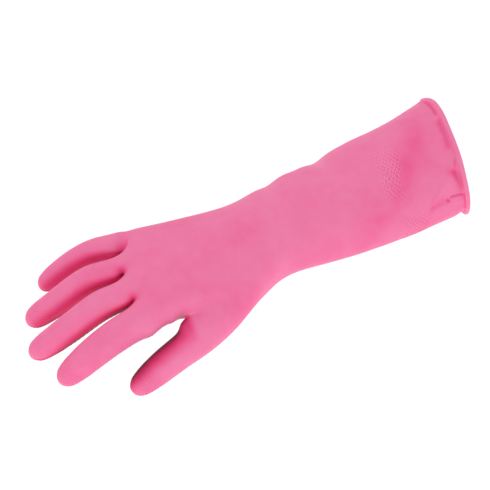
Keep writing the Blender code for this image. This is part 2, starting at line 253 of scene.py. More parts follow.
def root_columns():
    """Along the line of the finger roots: centre and half height at each edge, web and crown."""
    columns = []
    last_centre, last_radius = None, None
    for name in FINGER_ORDER:
        centre = np.array(FINGERS[name]["line"][0], float)
        radius = FINGERS[name]["radii"][0]
        edge = centre - (0, radius, 0)
        if last_centre is None:
            columns.append((edge, ROOT_EDGE * radius))
        else:
            web = (last_centre + (0, last_radius, 0) + edge) / 2
            columns.append((web, ROOT_WEB * (radius + last_radius) / 2))
        columns.append((centre, ROOT_CROWN * radius))
        last_centre, last_radius = centre, radius
    columns.append((last_centre + (0, last_radius, 0), ROOT_EDGE * last_radius))
    return columns


def digit_frame(direction, side):
    """A digit's own axes: along it, to its side, and out of its back."""
    direction = unit(direction)
    side = np.asarray(side, float)
    side = unit(side - side.dot(direction) * direction)
    return direction, side, np.cross(side, direction)


def digit_ring(cage, centre, direction, side, radius):
    """Six points round a digit: three over its back, then three under its pad."""
    direction, side, back = digit_frame(direction, side)
    ring = []
    for angle in DIGIT_ANGLES:
        turn = math.radians(angle)
        spoke = math.cos(turn) * side + math.sin(turn) * back
        ring.append(cage.point(np.asarray(centre) + radius * swell(DIGIT_STEP) * spoke))
    return ring


def digit(cage, loop, line, radii, side, part, row):
    """A tube from an open loop of six points along a centre line to a rounded tip."""
    line = [np.asarray(place, float) for place in line]
    for k in range(1, len(line)):
        direction = unit(line[k] - line[k - 1])
        if k + 1 < len(line):
            direction = direction + unit(line[k + 1] - line[k])
        ring = digit_ring(cage, line[k], direction, side, radii[k])
        cage.sleeve(loop, ring, part, row)
        loop = ring
        row += 1
    direction = unit(line[-1] - line[-2])
    for ahead, share in TIP_STEPS:
        ring = digit_ring(cage, line[-1] + direction * ahead * radii[-1], direction, side, share * radii[-1])
        cage.sleeve(loop, ring, part, row)
        loop = ring
        row += 1
    cage.face((loop[0], loop[1], loop[4], loop[5]), part, (row,) * 4)
    cage.face((loop[1], loop[2], loop[3], loop[4]), part, (row,) * 4)


def finger_course(name):
    """A finger's centre line and radii with the extra ring near its root."""
    line, radii = FINGERS[name]["line"], FINGERS[name]["radii"]
    base = (1 - EXTRA_RING_AT) * np.array(line[0]) + EXTRA_RING_AT * np.array(line[1])
    radius = EXTRA_RING_AT * radii[0] + (1 - EXTRA_RING_AT) * radii[1]
    return (line[0], base, *line[1:]), (radii[0], radius, *radii[1:])


def glove_cage():
    """The whole control cage, open only at the cuff."""
    cage = Cage()
    rings = arm_rings(cage)
    for row, (first, second) in enumerate(zip(rings, rings[1:])):
        arm_band(cage, first, second, row, closed=row not in THUMB_RINGS[:2])
    columns = root_columns()
    roots_above = [cage.point(centre + (0, 0, height)) for centre, height in columns]
    roots_below = [cage.point(centre - (0, 0, height)) for centre, height in columns]
    arm_band(cage, rings[-1], (roots_above, roots_below), len(rings) - 1)
    for k, name in enumerate(FINGER_ORDER):
        left, right = 2 * k, 2 * k + 2
        loop = roots_above[left : right + 1] + roots_below[left : right + 1][::-1]
        line, radii = finger_course(name)
        digit(cage, loop, line, radii, (0, 1, 0), name, 0)
    first, second, third = (rings[k] for k in THUMB_RINGS)
    loop = [first[0][0], second[0][0], third[0][0], third[1][0], second[1][0], first[1][0]]
    ring = digit_ring(cage, THUMB_LINE[0], THUMB_ROOT_DIRECTION, THUMB_ROOT_SIDE, THUMB_RADII[0])
    cage.sleeve(loop, ring, "thumb", 0)
    digit(cage, ring, THUMB_LINE, THUMB_RADII, THUMB_SIDE, "thumb", 1)
    return cage


# ---- the fine surface


def cell_corners(grid, step):
    """What a grid holds at the four corners of each of its cells, step grid points a side."""
    grid = grid[:, ::step, ::step]
    corners = [grid[:, :-1, :-1], grid[:, 1:, :-1], grid[:, 1:, 1:], grid[:, :-1, 1:]]
    return np.stack(corners, axis=-1).reshape(-1, 4)


def placed(name, data):
    """A new object in the scene."""
    made = bpy.data.objects.new(name, data)
    bpy.context.scene.collection.objects.link(made)
    return made


def fetch(items, name, width=1, kind=np.int32):
    """One property of all the items of a collection."""
    values = np.empty(len(items) * width, kind)
    items.foreach_get(name, values)
    return values


class Skin:
    """The smooth surface: its points in design millimetres, and for every cage face the grid of
    points that it was divided into."""

    def __init__(self, cage):
        self.parts = np.array(cage.parts)
        self.corner_rows = np.array(cage.along, float)
        mesh = bpy.data.meshes.new("cage")
        mesh.from_pydata([Vector(place) for place in cage.points], [], cage.faces)
        local = mesh.uv_layers.new(name="local")
        local.data.foreach_set("uv", np.tile([0, 0, 1, 0, 1, 1, 0, 1], len(cage.faces)).astype(np.float32))
        number = mesh.attributes.new("number", "INT", "FACE")
        number.data.foreach_set("value", np.arange(len(cage.faces), dtype=np.int32))
        holder = placed("cage", mesh)
        smooth = holder.modifiers.new("smooth", "SUBSURF")
        smooth.levels = smooth.render_levels = FINE_LEVEL
        smooth.boundary_smooth = "PRESERVE_CORNERS"
        smooth.uv_smooth = "NONE"
        evaluated = holder.evaluated_get(bpy.context.evaluated_depsgraph_get())
        fine = evaluated.to_mesh()
        self.points = fetch(fine.vertices, "co", 3, np.float32).reshape(-1, 3).astype(float)
        spots = fetch(fine.uv_layers["local"].data, "uv", 2, np.float32).reshape(-1, 2)
        spots = np.rint(spots * FINE).astype(int)
        numbers = np.repeat(fetch(fine.attributes["number"].data, "value"), 4)
        self.grid = np.empty((len(cage.faces), FINE + 1, FINE + 1), np.int32)
        self.grid[numbers, spots[:, 0], spots[:, 1]] = fetch(fine.loops, "vertex_index")
        evaluated.to_mesh_clear()
        bpy.data.objects.remove(holder)
        bpy.data.meshes.remove(mesh)

    def cells(self, step):
        """Four-sided cells, step grid points a side: their corners, and the cage face of each."""
        corners = cell_corners(self.grid, step)
        return corners, np.repeat(np.arange(len(self.grid)), len(corners) // len(self.grid))

    def row_grid(self):
        """How far along its part each grid point is, in rings, by cage face."""
        t = np.linspace(0, 1, FINE + 1)
        s, t = np.meshgrid(t, t, indexing="ij")
        a, b, c, d = (self.corner_rows[:, k, None, None] for k in range(4))
        return a * (1 - s) * (1 - t) + b * s * (1 - t) + c * s * t + d * (1 - s) * t

    def normals(self, points):
        """The unit normal at every point, for the surface with its points moved there."""
        quads, _ = self.cells(1)
        a, b, c, d = (points[quads[:, k]] for k in range(4))
        face = np.cross(c - a, d - b)
        total = np.zeros_like(points)
        for k in range(4):
            for axis in range(3):
                total[:, axis] += np.bincount(quads[:, k], face[:, axis], len(points))
        return units(total)


SKIN_GRID = Skin(glove_cage())


def part_rows(skin):
    """For every point, the number of its part and its row there. A point that two parts share is the
    arm's."""
    names = ["arm", *FINGER_ORDER, "thumb"]
    part = np.zeros(len(skin.points), int)
    row = np.zeros(len(skin.points))
    rows = skin.row_grid()
    for number in reversed(range(len(names))):
        chosen = skin.parts == names[number]
        spots = skin.grid[chosen].ravel()
        part[spots] = number
        row[spots] = rows[chosen].ravel()
    return names, part, row


PART_NAMES, PART, ROW = part_rows(SKIN_GRID)
ARM = PART == 0
THUMB = PART == PART_NAMES.index("thumb")


def smoothstep(value, low, high):
    """A smooth rise from 0 at low to 1 at high."""
    t = np.clip((value - low) / (high - low), 0, 1)
    return t * t * (3 - 2 * t)


def bump(distance, width):
    """A smooth rise that is 1 at no distance and fades out over about twice the width."""
    return np.exp(-((distance / width) ** 2))


def hash_noise(places, scale, seed):
    """Smooth noise between -1 and 1 with features about scale millimetres across."""
    cell = places / scale
    base = np.floor(cell).astype(np.int64)
    part = cell - base
    part = part * part * (3 - 2 * part)
    total = np.zeros(len(places))
    for corner in range(8):
        offset = np.array([corner & 1, corner >> 1 & 1, corner >> 2 & 1])
        spot = base + offset
        mixed = spot[:, 0] * 374761393 + spot[:, 1] * 668265263 + spot[:, 2] * 2147483647 + seed * 144665
        mixed = (mixed ^ (mixed >> 13)) * 1274126177
        value = ((mixed ^ (mixed >> 16)) & 0xFFFF) / 0x7FFF - 1
        weight = np.prod(np.where(offset, part, 1 - part), axis=1)
        total += value * weight
    return total


def ring_number(x, k):
    """What number k of the rings is at x, in between them."""
    order = RINGS[::-1]
    return np.interp(x, [ring[0] for ring in order], [ring[k] for ring in order])


def arm_place(points):
    """Position round the arm: the angle, with 90 on the back and 180 on the thumb's side, and the
    middle radius of the ring there."""
    y, z, a, b = (ring_number(points[:, 0], k) for k in (1, 2, 3, 4))
    angle = np.degrees(np.arctan2((points[:, 2] - z) / b, (points[:, 1] - y) / a))
    return angle, (a + b) / 2


# ---- folds and sag

# Folds of the gauntlet's skin: the line of each as (x, angle round the arm) points, its half width and
# its depth (a ridge where it is less than 0), in millimetres.
FOLDS = (
    (((142.5, 31), (141.5, 45), (139.5, 58), (137.5, 70)), 1.0, 0.9),
    (((136, 80), (133.5, 92), (131, 104)), 3.2, 1.0),
    (((125, 88), (122, 103), (118, 112)), 4.5, -0.6),
    (((129.8, 119), (128.6, 123)), 1.1, 0.7),
    (((126, 129), (127, 137), (128.5, 146)), 2.8, 1.8),
    (((125, 122), (121, 130), (121, 142)), 2.2, -0.5),
    (((118.5, 152.5), (121.5, 153.5), (126, 154.5)), 1.0, 1.1),
    (((121, 161), (128, 163)), 1.9, -0.7),
    (((115.6, 155), (116.6, 157.5)), 0.9, 0.6),
    (((115, 155.5), (109.5, 156), (103, 157)), 1.8, 0.9),
    (((113, 148), (110, 152)), 2.6, 0.6),
    (((115, 138), (109, 145.5), (104, 152)), 1.8, -0.7),
    (((123, 68), (112, 88), (99, 104), (86, 128), (82, 146)), 8.0, 1.3),
    (((64, 68), (60, 95)), 6.0, 0.5),
)

# The rim's corner on the little finger's side is drawn back and the rim next to it is full: the angle
# round the arm, its half spread in degrees, and how far that part is moved along the arm.
RIM_MOVES = ((22, 17, -4.6), (62, 20, 1.2), (112, 42, 2.5))
RIM_MOVES_START = 108

# Slack along the little finger's side of the arm: where each dip or swelling is along the arm, half
# its length along the arm, and how deep it is (a swelling where it is less than 0).
SIDE_SLACK = ((8, 6.5, 1.1), (22, 8, -1.1), (49, 7.5, 2.7), (70, 9, -0.3))
SIDE_ANGLE = 34
SIDE_HALF_SPREAD = 15

# The whole skin's slight unevenness, which dies away towards the fingertips: the size, the noise's
# number and the depth of each kind, and where it starts and is full.
UNEVENNESS = ((26, 1, 0.35), (12, 2, 0.12))
UNEVENNESS_SPAN = (-180, 0)

# The cuff is pinched in behind its bead on the lower side of the thumb's edge, where the bead bulges:
# x, angle, half length, half spread and depth of each.
PINCHES = ((129, 203, 3.0, 12, 2.0), (135.5, 208, 3.0, 14, -1.6))

# The palm's edge is full before the thumb: the line of the swelling, its half width and height.
# Nothing that is nearer to the cuff than this swells.
PALM_START = -36
PALM_EDGE = (((-111, -41.5, 31.5), (-95, -38.5, 31.5)), 6.5, 3.0)

# The webs between the digits: where each is, its half width, and how it is drawn along.
WEBS = (
    ((-105, 27, 36), 8.0, (2.2, -3.8, -0.5)),
    ((-114, 24, 36), 14.0, (0.5, -3.6, 0)),
    ((-105.5, 38, 37), 10.0, (0, -0.5, -1.3)),
    ((-117, 6, 39), 13.0, (0.6, -3.9, 0)),
    ((-119, -14, 40), 13.0, (0.6, -3.9, 0)),
    ((-82, -44, 27), 10.0, (-5.5, 1.6, 1.2)),
    ((-93, -41, 28), 8.0, (0, -2.0, 0)),
)

# How far round the arm a line's effect is looked for
NEAR_TURN = 80


def line_distance(points, line):
    """The distance of places from a straight or bent line."""
    best = np.full(len(points), np.inf)
    line = np.asarray(line, float)
    for a, b in zip(line, line[1:]):
        run = b - a
        t = np.clip((points - a) @ run / run.dot(run), 0, 1)
        best = np.minimum(best, np.linalg.norm(points - a - t[:, None] * run, axis=1))
    return best


def near_line(arm, angle, line):
    """The points of the arm that are within a quarter turn or so of a line on it."""
    middle = np.mean([spot[1] for spot in line])
    return arm & (np.abs(angle - middle) < NEAR_TURN)


def arm_line_distance(points, angle, radius, line):
    """The distance, along the arm's surface, of its points from a line of (x, angle) spots."""
    xs = [spot[0] for spot in line]
    sizes = (ring_number(xs, 3) + ring_number(xs, 4)) / 2
    spots = [(x, math.radians(turn) * size) for (x, turn), size in zip(line, sizes)]
    return line_distance(np.stack([points[:, 0], np.radians(angle) * radius], axis=1), spots)


def patch(points, angle, radius, x, turn, half_length, half_spread, depth):
    """A dent of the arm at x and at an angle round it."""
    around = np.radians((angle - turn + 180) % 360 - 180) * radius
    return depth * bump(np.hypot((points[:, 0] - x) / half_length, around / half_spread), 1)


def around_place(points, place, width):
    """A smooth rise round a place."""
    return bump(np.linalg.norm(points - place, axis=1), width)


def folded(skin):
    """The surface with its folds, dents, slack and drawn webs, flat where it rests."""
    points = skin.points.copy()
    normals = skin.normals(points)
    angle, radius = arm_place(points)
    inward = np.zeros(len(points))
    arm = ARM & (ROW < FOLD_ROWS)
    behind_rim = smoothstep(ROW, 0, RIM_ROWS)
    for line, width, depth in FOLDS:
        near = near_line(arm, angle, line)
        fold = bump(arm_line_distance(points[near], angle[near], radius[near], line), width)
        inward[near] += depth * fold * behind_rim[near]
    hand = ~THUMB & (points[:, 0] < PALM_START)
    line, width, height = PALM_EDGE
    inward[hand] -= height * bump(line_distance(points[hand], line), width)
    for x, half_length, depth in SIDE_SLACK:
        inward += arm * patch(points, angle, radius, x, SIDE_ANGLE, half_length, SIDE_HALF_SPREAD, depth)
    for dent in PINCHES:
        inward += arm * patch(points, angle, radius, *dent)
    for size, seed, depth in UNEVENNESS:
        inward += depth * hash_noise(points, size, seed) * smoothstep(points[:, 0], *UNEVENNESS_SPAN)
    near_rim = smoothstep(points[:, 0], RIM_MOVES_START, RINGS[0][0])
    draws = [(around_place(points, place, width), way) for place, width, way in WEBS]
    points = points - normals * inward[:, None]
    for share, way in draws:
        points += share[:, None] * way
    for turn, spread, shift in RIM_MOVES:
        points[:, 0] += shift * near_rim * bump(angle - turn, spread)
    points[:, 2] = np.maximum(points[:, 2], 0)
    return points


# ---- grip relief

# The grip's height. Then the band's: how far apart its rows are, how many dashes go round the arm,
# how much the rows lean, how rows and dashes waver (the size, the noise's number, how much), how far
# its edges take to fade, and how steeply a dash rises.
GRIP_HEIGHT = 0.34
BAND_PITCH = 1.5
BAND_DASHES = 56
BAND_LEAN = 0.15
BAND_WAVER = ((3.5, 4, 0.35), (3, 5, 0.25))
BAND_FADE = (-2, 4)
DASH_RISE = (-0.9, -0.2)

# Where the grip band shows round the forearm: the angle, the band's two edges and how sharply it was
# moulded there.
BAND_COURSE = (
    (0, 76, 99, 0.7),
    (48, 71, 86, 0.5),
    (70, 73, 90, 0.3),
    (85, 79, 99, 0.8),
    (105, 75, 94, 1.0),
    (123, 73, 86, 0.8),
    (136, 76, 92, 0.15),
    (152, 79, 98, 0.2),
    (163, 80, 101, 0.9),
    (190, 80, 101, 0.9),
    (360, 76, 99, 0.7),
)

# The fingertips' dots: how far apart their rows are, how many go round, how far from the tip they
# reach on the sides, how much further on the pad, how far they take to fade out, and where they fade
# in at the tip's very end
TIP_PITCH = 1.5
TIP_DOTS = 32
TIP_REACH = 16
TIP_PAD_REACH = 6
TIP_FADE = 8
TIP_END = (-8, -4.5)

# The palm's lozenges: how far apart they are, their height as a share of the grip's, how far the
# ridges between them are cut down, where they end towards the cuff, and how far the skin has to look
# down for them
PALM_PITCH = 3.2
PALM_HEIGHT = 0.8
PALM_CUT = 0.15
PALM_END = (20, 26)
PALM_FACING = (0.35, 0.6)


def band_relief(points, angle):
    """Staggered rows of raised dashes in a band round the forearm: how far each point belongs to the
    band, and how high its dashes stand."""
    turns, *courses = zip(*BAND_COURSE)
    low, high, strength = (np.interp(angle % 360, turns, course) for course in courses)
    x = points[:, 0]
    share = strength * smoothstep(x - low, *BAND_FADE) * smoothstep(high - x, *BAND_FADE)
    sway, drift = (depth * hash_noise(points, size, seed) for size, seed, depth in BAND_WAVER)
    along = (x - BAND_LEAN * points[:, 1] + sway) / BAND_PITCH
    around = angle / 360 * BAND_DASHES + 0.5 * (np.floor(along) % 2) + drift
    ridge = np.sin(np.pi * along) ** 2
    return share, ridge * smoothstep(np.cos(2 * np.pi * around), *DASH_RISE)


def digit_places(points, name):
    """Along a digit and round it, in millimetres from its tip and degrees from its pad."""
    if name == "thumb":
        line, side = THUMB_LINE, THUMB_SIDE
    else:
        line, side = FINGERS[name]["line"], (0, 1, 0)
    direction, side, back = digit_frame(np.subtract(line[-1], line[-2]), side)
    away = points - np.array(line[-1])
    return -(away @ direction), np.degrees(np.arctan2(away @ side, -(away @ back)))


def tip_relief(points, name):
    """Rows of fine dots over a fingertip, reaching further along its pad than along its back."""
    along, around = digit_places(points, name)
    reach = TIP_REACH + TIP_PAD_REACH * np.cos(np.radians(around))
    share = (1 - smoothstep(along, reach - TIP_FADE, reach)) * smoothstep(along, *TIP_END)
    row = along / TIP_PITCH
    stagger = 180 / TIP_DOTS * (np.floor(row) % 2)
    dots = np.sin(np.pi * row) ** 2 * np.cos(np.radians(around + stagger) * TIP_DOTS / 2) ** 2
    return share, dots


def palm_relief(points, normals):
    """Crossed ridges of small lozenges on the palm and on the pads of the fingers."""
    share = smoothstep(-normals[:, 2], *PALM_FACING) * smoothstep(-points[:, 0], *PALM_END)
    a = np.sin(np.pi * (points[:, 0] + points[:, 1]) / PALM_PITCH)
    b = np.sin(np.pi * (points[:, 0] - points[:, 1]) / PALM_PITCH)
    return share, PALM_HEIGHT * np.maximum(np.abs(a * b) - PALM_CUT, 0)


def relief(points, normals):
    """How far each point belongs to a grip pattern, and how high the pattern is there, from 0 to 1."""
    angle, _ = arm_place(points)
    share, height = palm_relief(points, normals)
    patterns = [(ARM, band_relief(points, angle))]
    for number, name in enumerate(PART_NAMES):
        if number:
            patterns.append((PART == number, tip_relief(points, name)))
    for chosen, (own_share, own_height) in patterns:
        stronger = chosen & (own_share > share)
        share[stronger] = own_share[stronger]
        height[stronger] = own_height[stronger]
    return share, height


# Painted shade along the gauntlet's folds and creases, broad and narrow, and in the groove inside the
# bead: the line of each place as (x, angle round the arm) points, its half width in millimetres and its
# strength.
PAINTED_CREASE_SHADE = (
    (((119, 77), (108, 90), (99, 100), (91, 112), (84, 124)), 8.5, 0.15),
    (((96, 104), (84, 128), (72, 142), (58, 156)), 9.0, 0.10),
    (((142.5, 31), (141.5, 45), (139.5, 58), (138, 68)), 1.3, 0.35),
    (((136, 80), (133.5, 92), (131, 104)), 2.6, 0.26),
    (((126.5, 130), (127.5, 137), (129.5, 145)), 2.7, 0.30),
    (((123, 127), (125.5, 129)), 2.4, 0.2),
    (((129.8, 119), (128.6, 123)), 1.2, 0.25),
    (((118.5, 152.5), (121.5, 153.5), (126, 154.5)), 0.8, 0.42),
    (((115.6, 155), (116.6, 157.5)), 0.7, 0.35),
    (((115, 155), (110, 153), (104, 156)), 3.0, 0.2),
    (((128, 156), (129, 180), (129.5, 200)), 1.3, 0.4),
)

# Painted shade in the grip's hollows, paler on its ridges: how much darker the hollows are painted than
# the ridges, and the height that is neither
GRIP_PAINTED_SHADE = 0.65
GRIP_TONE_LEVEL = 0.3

# Painted shade between the digits: a point is painted darker the more of what it looks out on is its
# neighbours. That starts at CROTCH_START, grows between the two shares by a power, and is less on the
# flanks that face the little finger's side.
CROTCH_START = -60
CROTCH_PAINTED_SHADE = 0.85
CROTCH_SHARES = (0.1, 0.95)
CROTCH_POWER = 1.25
INNER_FLANK_SHARE = 0.45
INNER_FLANK = (0, 0.4)

# Painted shade, darker still, at the gaps' ends, and a painted lightening on the thumb's web, where shade
# falls: the place, the half width and the strength of each.
WEB_PAINTED_SHADE_AND_LIGHT = (
    ((-105.5, 21.5, 38), 5.0, 0.8),
    ((-112, 2.5, 40), 3.6, 0.9),
    ((-113.5, -20.5, 41), 3.4, 0.8),
    ((-84.5, -40.5, 26), 6.0, -1.0),
)

# Painted shade on the fingers' lower flanks towards the thumb: by how much, and how far the skin has to
# look down and to the side for it.
UNDER_PAINTED_SHADE = 0.9
UNDER_DOWN = (-0.05, 0.4)
UNDER_SIDE = (0.2, 0.7)

# Painted shade on the thumb's flank towards the palm, darkest at its edge: how far towards the fingers
# that starts and is full, then the strength of each and how far the skin has to look to the side, and up.
THUMB_FLANK = (81, 87.5)
THUMB_FLANK_PAINTED_SHADE = 1.35
THUMB_FLANK_SIDE = (-0.85, 0.75)
THUMB_FLANK_UP = (-0.4, 0.3)
THUMB_EDGE_PAINTED_SHADE = 0.75
THUMB_EDGE_SIDE = (0.25, 0.75)

# How far apart the balls are that stand for a finger
BALL_SPACING = 3


def finger_balls(name):
    """Balls along a finger, as centres and radii."""
    line, radii = FINGERS[name]["line"], FINGERS[name]["radii"]
    balls = []
    for a, b, first, last in zip(line, line[1:], radii, radii[1:]):
        steps = math.ceil(math.dist(a, b) / BALL_SPACING)
        for t in np.arange(steps) / steps:
            balls.append((np.add(a, t * np.subtract(b, a)), first + t * (last - first)))
    return balls


def closeness(points, normals):
    """How much of what each point of a finger or of the webs looks out on is other fingers, from 0."""
    total = np.zeros(len(points))
    for number, name in enumerate(PART_NAMES):
        if name in FINGER_ORDER:
            others = (PART != number) & ~THUMB & (points[:, 0] < CROTCH_START)
            most = np.zeros(others.sum())
            for centre, radius in finger_balls(name):
                away = centre - points[others]
                distance = np.linalg.norm(away, axis=1)
                facing = np.einsum("ij,ij->i", away, normals[others]) / distance
                most = np.maximum(most, facing * radius / distance)
            total[others] += most
    return total


def painted_crotch_shade(points, normals):
    """The painted shade between the digits and on the thumb's flank towards the palm."""
    total = CROTCH_PAINTED_SHADE * smoothstep(closeness(points, normals), *CROTCH_SHARES) ** CROTCH_POWER
    total *= 1 - (1 - INNER_FLANK_SHARE) * smoothstep(normals[:, 1], *INNER_FLANK)
    for place, width, strength in WEB_PAINTED_SHADE_AND_LIGHT:
        total += strength * around_place(points, place, width)
    fingers = np.isin(PART, [PART_NAMES.index(name) for name in FINGER_ORDER[1:]])
    below = smoothstep(-normals[:, 2], *UNDER_DOWN) * smoothstep(-normals[:, 1], *UNDER_SIDE)
    total += UNDER_PAINTED_SHADE * fingers * below
    flank = smoothstep(normals[:, 1], *THUMB_FLANK_SIDE) * smoothstep(normals[:, 2], *THUMB_FLANK_UP)
    flank = THUMB_FLANK_PAINTED_SHADE * flank + THUMB_EDGE_PAINTED_SHADE * smoothstep(normals[:, 1], *THUMB_EDGE_SIDE)
    return total + THUMB * flank * smoothstep(-points[:, 0], *THUMB_FLANK)


def tone_and_painted_shade(points, normals, share, height):
    """How much darker or paler than its surroundings the latex is painted: painted shade in the hollows and
    paler ridges of the grip patterns, between the digits and along the folds and creases."""
    angle, radius = arm_place(points)
    total = GRIP_PAINTED_SHADE * share * (GRIP_TONE_LEVEL - height) + painted_crotch_shade(points, normals)
    arm = ARM & (ROW < FOLD_ROWS)
    for line, width, strength in PAINTED_CREASE_SHADE:
        near = near_line(arm, angle, line)
        away = arm_line_distance(points[near], angle[near], radius[near], line)
        total[near] += strength * bump(away, width)
    return total


# ---- the pieces

# The rows at which the skin is cut into pieces
WRIST_CUT = 7.625
THUMB_CUTS = (2.375, 3.5)
FINGER_CUTS = (1.25, 2.625)
LAST_ROW = 99

# How far a piece's bend zone reaches to either side of its joint
DEVIATION_REACH = 10
FLEXION_REACH = 19
DIGIT_REACH = 10.5
END_REACH = 9
SEAM_MARGIN = 0.25


def piece_plan():
    """Every piece of latex: the part it is cut from and the rows it holds there, the two bodies that
    it lies between, the joint that it crosses and the way ahead there, how far its bend zone reaches to
    either side of it, and the CAD nodes that it and its lining stand for."""
    plan = [
        {
            "name": "gauntlet",
            "rows": (("arm", 0, WRIST_CUT),),
            "bodies": ("gauntlet", "wrist_band"),
            "joint": "wrist_deviation_bend",
            "ahead": (-1, 0, 0),
            "reach": DEVIATION_REACH,
            "skins": ("gauntlet_skin", "wrist_deviation_band"),
            "linings": ("gauntlet_lining",),
        },
        {
            "name": "hand",
            "rows": (("arm", WRIST_CUT, LAST_ROW), ("thumb", 0, THUMB_CUTS[0])),
            "bodies": ("wrist_band", "hand"),
            "joint": "wrist_flexion_bend",
            "ahead": (-1, 0, 0),
            "reach": FLEXION_REACH,
            "skins": ("wrist_band_skin", "wrist_flexion_band", "hand_skin"),
            "linings": ("wrist_band_lining", "hand_lining"),
        },
    ]
    lengths, bends = ("proximal", "middle", "tip"), ("knuckle", "middle", "end")
    chains = [(name, lengths, bends, FINGER_CUTS) for name in FINGER_ORDER]
    chains.append(("thumb", ("proximal", "tip"), ("knuckle", "end"), THUMB_CUTS))
    for part, lengths, bends, cuts in chains:
        edges = ((0,) if part != "thumb" else ()) + cuts + (LAST_ROW,)
        before = "hand"
        if part == "thumb":
            line = THUMB_LINE
            heads = [np.subtract(line[-1], line[1])] * 2
        else:
            line = [np.array(place, float) for place in FINGERS[part]["line"]]
            runs = [unit(b - a) for a, b in zip(line, line[1:])]
            heads = [runs[0], runs[0] + runs[1], runs[1] + runs[2]]
        for length, bend, low, high, ahead in zip(lengths, bends, edges, edges[1:], heads):
            body = f"{part}_{length}"
            plan.append(
                {
                    "name": body,
                    "rows": ((part, low, high),),
                    "bodies": (before, body),
                    "joint": f"{part}_{bend}_bend",
                    "ahead": unit(ahead),
                    "reach": END_REACH if bend == "end" else DIGIT_REACH,
                    "skins": (f"{body}_skin", f"{part}_{bend}_band"),
                    "linings": (f"{body}_lining",),
                }
            )
            before = body
    return plan


def cells_of(skin, step, rows):
    """The cells, step grid points a side, that lie in the given rows of the given parts."""
    corners, faces = skin.cells(step)
    middle = cell_corners(skin.row_grid(), step).mean(axis=1)
    kept = np.zeros(len(corners), bool)
    for part, low, high in rows:
        kept |= (skin.parts[faces] == part) & (middle > low) & (middle < high)
    return corners[kept]


def open_edges(cells):
    """The directed edges that only one of the cells has."""
    first = cells.ravel()
    second = np.roll(cells, -1, axis=1).ravel()
    size = int(max(first.max(), second.max())) + 1
    key = first.astype(np.int64) * size + second
    other = second.astype(np.int64) * size + first
    lone = ~np.isin(key, other)
    return dict(zip(first[lone].tolist(), second[lone].tolist()))


def rim_faces(outer, inner, top, bottom):
    """Faces that close a sheet's edge. Each edge of the inner cells meets one or more of the outer
    cells' edges."""
    outer_next = open_edges(outer)
    faces = []
    for start, end in open_edges(inner).items():
        walk = [start]
        while walk[-1] != end:
            walk.append(outer_next[walk[-1]])
        faces.append([top[spot] for spot in reversed(walk)] + [bottom[start], bottom[end]])
    return faces


def sheet_mesh(name, outer, inner, outer_side, inner_side, rest, tones_and_painted_shade):
    """A closed sheet: the outer cells, the inner cells turned over, and the rims between them. Each
    side is its points and normals. The normals are the whole glove's, so that two neighbours are
    shaded alike where they meet."""
    (outer_points, outer_normals), (inner_points, inner_normals) = outer_side, inner_side
    tops, outer_local = np.unique(outer, return_inverse=True)
    bottoms, inner_local = np.unique(inner, return_inverse=True)
    outer_local = outer_local.reshape(-1, 4)
    inner_local = inner_local.reshape(-1, 4)[:, ::-1] + len(tops)
    top = dict(zip(tops.tolist(), range(len(tops))))
    bottom = dict(zip(bottoms.tolist(), range(len(tops), len(tops) + len(bottoms))))
    rims = rim_faces(outer, inner, top, bottom)
    points = np.concatenate([outer_points[tops], inner_points[bottoms]])
    quads = np.concatenate([outer_local, inner_local])
    mesh = bpy.data.meshes.new(name)
    loops = np.concatenate([quads.ravel(), np.array([spot for face in rims for spot in face], int)])
    sizes = np.concatenate([np.full(len(quads), 4), np.array([len(face) for face in rims], int)])
    mesh.vertices.add(len(points))
    mesh.vertices.foreach_set("co", to_row(points).astype(np.float32).ravel())
    mesh.loops.add(len(loops))
    mesh.loops.foreach_set("vertex_index", loops.astype(np.int32))
    mesh.polygons.add(len(sizes))
    mesh.polygons.foreach_set("loop_start", np.concatenate([[0], np.cumsum(sizes)[:-1]]).astype(np.int32))
    mesh.update(calc_edges=True)
    mesh.shade_smooth()
    both = np.concatenate([tops, bottoms])
    store(mesh, "rest", rest[both])
    # Each point's tone, which holds the painted shade
    store(mesh, "tone_and_painted_shade", tones_and_painted_shade[both])
    shading = np.concatenate([outer_normals[tops], -inner_normals[bottoms]])
    mesh.normals_split_custom_set_from_vertices(shading)
    return mesh


def store(mesh, name, values):
    """Keep a number or a vector for every point of a mesh."""
    vectors = values.ndim > 1
    attribute = mesh.attributes.new(name, "FLOAT_VECTOR" if vectors else "FLOAT", "POINT")
    attribute.data.foreach_set("vector" if vectors else "value", values.astype(np.float32).ravel())


def piece_object(name, mesh, material):
    mesh.materials.append(material)
    return placed(name, mesh)


def bend_piece(piece):
    """Bake a piece's placement into its points."""
    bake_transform(piece)


def bend_zone(entry, skin, points):
    """How far before and after its joint a piece's bend zone reaches, clear of its seams with its neighbours.
    """
    at = (np.array(JOINTS[entry["joint"]]["pos_m"]) - TO_ROW) / MM
    seams = open_edges(cells_of(skin, STRIDE, entry["rows"]))
    places = (points[list(seams)] - at) @ np.array(entry["ahead"], float)
    low = max([-entry["reach"], *(places[places < 0] + SEAM_MARGIN)])
    high = min([entry["reach"], *(places[places > 0] - SEAM_MARGIN)])
    return low, high


# ---- materials


def new_material(name):
    material = bpy.data.materials.new(name)
    material.use_nodes = True
    nodes = material.node_tree.nodes
    return material, nodes, material.node_tree.links, nodes["Principled BSDF"]


def set_inputs(node, values):
    for name, value in values.items():
        node.inputs[name].default_value = value


def node(nodes, kind, **values):
    """A new node. Each value is an input's or, where there's none of that name, a property's."""
    made = nodes.new(kind)
    for key, value in values.items():
        if key in made.inputs:
            made.inputs[key].default_value = value
        else:
            setattr(made, key, value)
    return made


